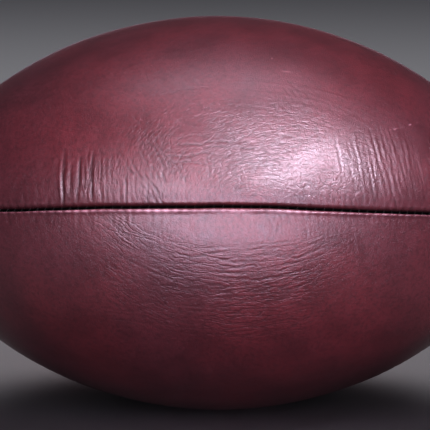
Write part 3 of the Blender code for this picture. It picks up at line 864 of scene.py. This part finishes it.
class Nodes:
    """A material's node tree, with short calls to add nodes and link them."""

    def __init__(self, name):
        self.material = bpy.data.materials.new(name)
        self.material.use_nodes = True
        self.tree = self.material.node_tree
        self.shader = self.tree.nodes["Principled BSDF"]

    def feed(self, socket, value):
        """Links an output to an input, or sets the input's own value."""
        if isinstance(value, bpy.types.NodeSocket):
            self.tree.links.new(value, socket)
        else:
            socket.default_value = value

    def add(self, kind, inputs=None, **settings):
        node = self.tree.nodes.new(kind)
        for key, value in settings.items():
            setattr(node, key, value)
        for key, value in (inputs or {}).items():
            self.feed(node.inputs[key], value)
        return node

    def set(self, **inputs):
        for key, value in inputs.items():
            self.feed(self.shader.inputs[key.replace("_", " ")], value)

    def math(self, operation, first, second=0.0):
        return self.add("ShaderNodeMath", {0: first, 1: second}, operation=operation).outputs[0]

    def attribute(self, name, output="Fac"):
        return self.add("ShaderNodeAttribute", attribute_name=name).outputs[output]

    def object_place(self):
        return self.add("ShaderNodeTexCoord").outputs["Object"]

    def noise(self, vector, scale, detail=2.0, roughness=0.5):
        inputs = {"Vector": vector, "Scale": scale, "Detail": detail, "Roughness": roughness}
        return self.add("ShaderNodeTexNoise", inputs).outputs["Fac"]

    def ramp(self, value, low, high, start=0.0, end=1.0):
        inputs = {"Value": value, "From Min": low, "From Max": high, "To Min": start, "To Max": end}
        return self.add("ShaderNodeMapRange", inputs, interpolation_type="SMOOTHSTEP").outputs["Result"]

    def cells(self, vector, scale):
        """Flat plates with narrow valleys between them."""
        inputs = {"Vector": vector, "Scale": scale}
        edge = self.add("ShaderNodeTexVoronoi", inputs, feature="DISTANCE_TO_EDGE").outputs["Distance"]
        return self.ramp(edge, 0.0, 0.11)

    def wave(self, vector, scale, direction):
        inputs = {"Vector": vector, "Scale": scale, "Distortion": 1.5}
        return self.add("ShaderNodeTexWave", inputs, bands_direction=direction).outputs["Fac"]

    def mix(self, share, first, second):
        inputs = {0: share, 6: first, 7: second}
        return self.add("ShaderNodeMix", inputs, data_type="RGBA").outputs[2]

    def bump(self, height, distance, strength=1.0, normal=None):
        inputs = {"Height": height, "Distance": distance, "Strength": strength}
        if normal is not None:
            inputs["Normal"] = normal
        return self.add("ShaderNodeBump", inputs).outputs["Normal"]


def wrinkle_heights(nodes):
    """Soft lines and narrow wrinkles that run with the leather's flow."""
    flow = nodes.attribute("flow", "Vector")
    bent = nodes.add("ShaderNodeTexNoise", {"Vector": flow, "Scale": 0.16, "Detail": 2.0}).outputs["Color"]
    sweep_size = (5.0, 9.0, 0.0)
    swept = nodes.add("ShaderNodeVectorMath", {0: bent, 1: sweep_size, 2: flow}, operation="MULTIPLY_ADD")
    mapping = {"Vector": swept.outputs[0], "Scale": (0.50, 0.13, 0.0)}
    drawn = nodes.add("ShaderNodeMapping", mapping).outputs[0]
    lines = nodes.noise(drawn, 1.0, 3, 0.6)
    edge = nodes.add("ShaderNodeTexVoronoi", {"Vector": drawn, "Scale": 1.0}, feature="DISTANCE_TO_EDGE")
    return lines, nodes.ramp(edge.outputs["Distance"], 0.0, 0.16)


def crackle_heights(nodes, place_at):
    """Coarse and fine plates of crackled leather, bent so that no plate is straight-sided."""
    wobble = nodes.add("ShaderNodeTexNoise", {"Vector": place_at, "Scale": 260.0}).outputs["Color"]
    bend = {0: 0.0045, 4: place_at, 5: wobble}
    warped = nodes.add("ShaderNodeMix", bend, data_type="VECTOR").outputs[1]
    return nodes.cells(warped, 380.0), nodes.cells(warped, 900.0)


def leather_colour(nodes, place_at, mottle, wrinkles, creased):
    """Mottled dye, with painted shade in the creases and between the lips, pale scuffs, and a painted
    highlight along the seams' beads.
    """
    cloud = nodes.noise(place_at, 13, 3, 0.5)
    speckle = nodes.noise(place_at, 620, 3, 0.7)
    # painted shade along the valleys of the fine wrinkles
    valley = nodes.math("MULTIPLY", nodes.ramp(wrinkles, 0.0, 0.8, 0.42, 0.0), creased)
    colour = nodes.mix(nodes.ramp(cloud, 0.35, 0.65), MID_OXBLOOD, WARM_OXBLOOD)
    for share, paint in (
            (nodes.ramp(mottle, 0.62, 0.30, 0.0, 0.30), DEEP_OXBLOOD_AND_SHADE),
            (nodes.ramp(speckle, 0.42, 0.68, 0.0, 0.45), DEEP_OXBLOOD_AND_SHADE),
            # painted shade: darker where the crease strokes sink the leather
            (nodes.ramp(nodes.attribute("crease"), 0.0, -0.15, 0.0, 0.7), DEEP_OXBLOOD_AND_SHADE),
            # painted shade: near-black between the seam's lips, where the leather turns in
            (nodes.ramp(nodes.attribute("turned_in"), 0.9, 1.9), PAINTED_GROOVE_SHADE),
            # painted shade in the fine wrinkles' valleys
            (valley, DEEP_OXBLOOD_AND_SHADE),
            # pale scuffs, and a painted highlight along the seams' beads
            (nodes.ramp(nodes.attribute("scuff_and_highlight"), 0.05, 0.7), PALE_SCUFF_AND_HIGHLIGHT)):
        colour = nodes.mix(share, colour, paint)
    return colour


def leather_material():
    """Polished oxblood leather, with the finest of its wrinkles and its grain."""
    nodes = Nodes("oxblood_leather")
    place_at = nodes.object_place()
    creased = nodes.attribute("creased")
    mottle = nodes.noise(place_at, 55, 4, 0.6)
    lines, wrinkles = wrinkle_heights(nodes)
    coarse, fine = crackle_heights(nodes, place_at)
    grain = nodes.noise(place_at, 1800, 3, 0.7)
    colour = leather_colour(nodes, place_at, mottle, wrinkles, creased)
    normal = None
    for height, distance, strength in (
            (lines, 0.25 * MM, nodes.ramp(creased, 0.0, 1.0, 0.08, 0.5)),
            (wrinkles, 0.08 * MM, nodes.ramp(creased, 0.1, 1.0, 0.0, 0.7)),
            (coarse, 0.06 * MM, nodes.ramp(creased, 0.0, 1.0, 0.15, 0.5)),
            (fine, 0.05 * MM, 0.5),
            (grain, 0.03 * MM, 0.7)):
        normal = nodes.bump(height, distance, strength, normal)
    rough = nodes.ramp(mottle, 0.3, 0.7, 0.35, 0.42)
    nodes.set(Base_Color=colour, Roughness=rough, Normal=normal, Specular_IOR_Level=0.85)
    nodes.set(Coat_Weight=1.0, Coat_Roughness=0.44, Coat_Normal=normal)
    return nodes.material


def lace_material():
    """Oiled brown lace leather, mottled, with a fine grain."""
    nodes = Nodes("lace_leather")
    place_at = nodes.object_place()
    cloud = nodes.noise(place_at, 220, 4, 0.6)
    colour = nodes.mix(nodes.ramp(cloud, 0.3, 0.7), DARK_LACE, LIGHT_LACE)
    normal = nodes.bump(nodes.cells(place_at, 1100.0), 0.05 * MM, 0.6)
    normal = nodes.bump(nodes.noise(place_at, 2600, 2, 0.6), 0.03 * MM, 0.5, normal)
    nodes.set(Base_Color=colour, Roughness=nodes.ramp(cloud, 0.3, 0.7, 0.42, 0.6), Normal=normal)
    return nodes.material


def thread_material():
    """Dark waxed linen thread with its strands' twist."""
    nodes = Nodes("waxed_thread")
    place_at = nodes.object_place()
    cloud = nodes.noise(place_at, 500, 2, 0.5)
    colour = nodes.mix(nodes.ramp(cloud, 0.35, 0.65), DARK_THREAD, LIGHT_THREAD)
    twist = nodes.wave(place_at, 2600, "DIAGONAL")
    nodes.set(Base_Color=colour, Roughness=0.5, Normal=nodes.bump(twist, 0.05 * MM, 0.6))
    return nodes.material


def cotton_material():
    """Undyed plain-weave cotton drill."""
    nodes = Nodes("cotton_lining")
    place_at = nodes.object_place()
    warp = nodes.wave(place_at, 800, "X")
    weft = nodes.wave(place_at, 800, "Z")
    weave = nodes.math("MAXIMUM", warp, weft)
    cloud = nodes.noise(place_at, 90, 3, 0.6)
    thread = nodes.mix(nodes.ramp(cloud, 0.3, 0.7), PALE_COTTON, DULL_COTTON)
    colour = nodes.mix(nodes.ramp(weave, 0.2, 0.8), COTTON_GAPS, thread)
    nodes.set(Base_Color=colour, Roughness=0.92, Normal=nodes.bump(weave, 0.12 * MM, 0.7))
    return nodes.material


def rubber_material(name, colour, roughness):
    """Moulded rubber with a faint bloom of dust."""
    nodes = Nodes(name)
    place_at = nodes.object_place()
    dust = nodes.noise(place_at, 240, 4, 0.65)
    dusty = tuple(2.2 * part + 0.01 for part in colour)
    shade = nodes.mix(nodes.ramp(dust, 0.5, 0.8), (*colour, 1), (*dusty, 1))
    rough = nodes.ramp(dust, 0.4, 0.8, roughness, roughness + 0.2)
    normal = nodes.bump(nodes.noise(place_at, 1400, 3, 0.6), 0.03 * MM, 0.5)
    nodes.set(Base_Color=shade, Roughness=rough, Normal=normal)
    return nodes.material


def finish_cad_nodes():
    """Materials for the nodes that stay as the CAD made them, by how their names start."""
    looks = {
        "lining_": cotton_material(),
        "lace_tongue": lace_material(),
        "lace_facing_": lace_material(),
        "bladder": rubber_material("bladder_rubber", BLADDER_RUBBER, 0.6),
    }
    for name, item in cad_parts.items():
        for start, material in looks.items():
            if name.startswith(start):
                item.data.materials.clear()
                item.data.materials.append(material)


# Stage

def make_floor():
    half = FLOOR_HALF
    corners = np.array([(-half, -half, 0), (half, -half, 0), (half, half, 0), (-half, half, 0)])
    floor = mesh_object("floor", corners, [(0, 1, 2, 3)])
    nodes = Nodes("floor_paint")
    nodes.set(Base_Color=FLOOR_PAINT, Roughness=0.9, Specular_IOR_Level=0.1)
    floor.data.materials.append(nodes.material)
    floor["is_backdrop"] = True
    return floor


def make_light(light):
    """A soft area light. Its azimuth is in degrees to the right of the camera's side of the ball."""
    data = bpy.data.lights.new(light.name, "AREA")
    data.shape = "RECTANGLE"
    data.size, data.size_y = light.size
    data.energy = light.power
    data.color = light.colour
    data.spread = math.pi
    item = add_object(light.name, data)
    right, up = math.radians(light.azimuth), math.radians(light.elevation)
    way = Vector((math.sin(right) * math.cos(up), -math.cos(right) * math.cos(up), math.sin(up)))
    item.location = Vector((0, 0, CENTRE_HEIGHT)) + way * light.distance
    item.rotation_euler = way.to_track_quat("Z", "Y").to_euler()
    return item


def light_only(lights, name, items):
    """Keeps lights to some objects, so that the pale floor throws little light up under the ball."""
    lit = bpy.data.collections.new(name)
    for item in items:
        lit.objects.link(item)
    for light in lights:
        light.light_linking.receiver_collection = lit


def make_lights(floor):
    back_soft = make_light(BACK_SOFT_LIGHT)
    back_soft.visible_glossy = False  # it would draw a bright rim round the ball's outline
    on_ball = [make_light(light) for light in BALL_LIGHTS]
    light_only(on_ball + [back_soft], "lit_pieces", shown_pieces())
    light_only([make_light(FLOOR_LIGHT)], "lit_floor", [floor])
    world = bpy.data.worlds.new("studio")
    world.use_nodes = True
    background = world.node_tree.nodes["Background"]
    background.inputs["Color"].default_value = WORLD_COLOUR
    background.inputs["Strength"].default_value = WORLD_STRENGTH
    bpy.context.scene.world = world


def make_camera():
    camera = bpy.data.cameras.new("camera")
    camera.lens = CAMERA_LENS
    camera.sensor_width = CAMERA_SENSOR
    camera.clip_end = CAMERA_CLIP_END
    item = add_object("camera", camera)
    way = Vector((0, -math.cos(CAMERA_ELEVATION), math.sin(CAMERA_ELEVATION)))
    item.location = Vector(CAMERA_TARGET) + way * CAMERA_DISTANCE
    roll = Quaternion(way, CAMERA_ROLL)
    item.rotation_euler = (roll @ way.to_track_quat("Z", "Y")).to_euler()
    bpy.context.scene.camera = item


bpy.context.scene.view_settings.view_transform = "Standard"
bpy.context.scene.view_settings.gamma = VIEW_GAMMA
finish_cad_nodes()
make_panels()
make_all_stitches()
make_lace()
make_valve()
make_lights(make_floor())
make_camera()
